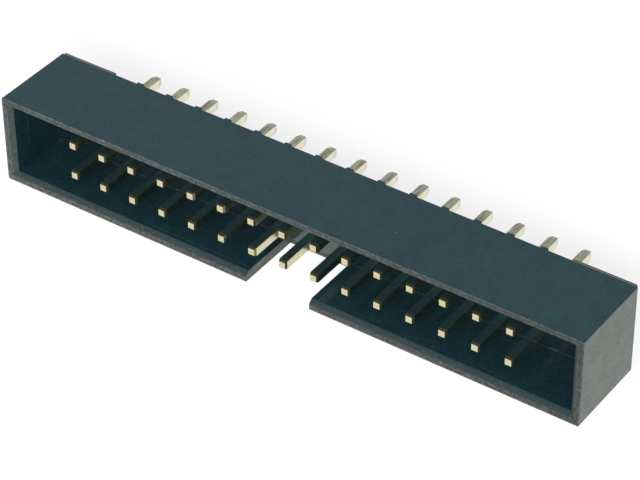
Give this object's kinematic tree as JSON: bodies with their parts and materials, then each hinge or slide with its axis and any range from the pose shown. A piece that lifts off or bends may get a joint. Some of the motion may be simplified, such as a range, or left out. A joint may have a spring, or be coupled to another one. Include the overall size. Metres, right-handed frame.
{
  "type": "box header",
  "caption": "Straight through-hole box header: a long, narrow shroud with a key slot in one long wall, round paired rows of square contact pins.",
  "frame": {"origin": "middle of the contact grid, in the plane of the circuit board that the feet stand on", "axes": "+X along the contact rows, +Y across them, away from the wall with the key slot, +Z out of the mouth, the way the plug is pulled off"},
  "size_m": [0.037, 0.0054, 0.0082],
  "materials": {
    "housing": "moulded glass-filled polymer, dark blue-grey, finely mottled",
    "contact": "gold plating over nickel, pale, satin"
  },
  "bodies": {
    "root": {"housing": "housing", "pin_01": "contact", "pin_02": "contact", "pin_03": "contact", "pin_04": "contact", "pin_05": "contact", "pin_06": "contact", "pin_07": "contact", "pin_08": "contact", "pin_09": "contact", "pin_10": "contact", "pin_11": "contact", "pin_12": "contact", "pin_13": "contact", "pin_14": "contact", "pin_15": "contact", "pin_16": "contact", "pin_17": "contact", "pin_18": "contact", "pin_19": "contact", "pin_20": "contact", "pin_21": "contact", "pin_22": "contact", "pin_23": "contact", "pin_24": "contact", "pin_25": "contact", "pin_26": "contact", "pin_27": "contact", "pin_28": "contact", "pin_29": "contact", "pin_30": "contact"}
  },
  "joints": []
}
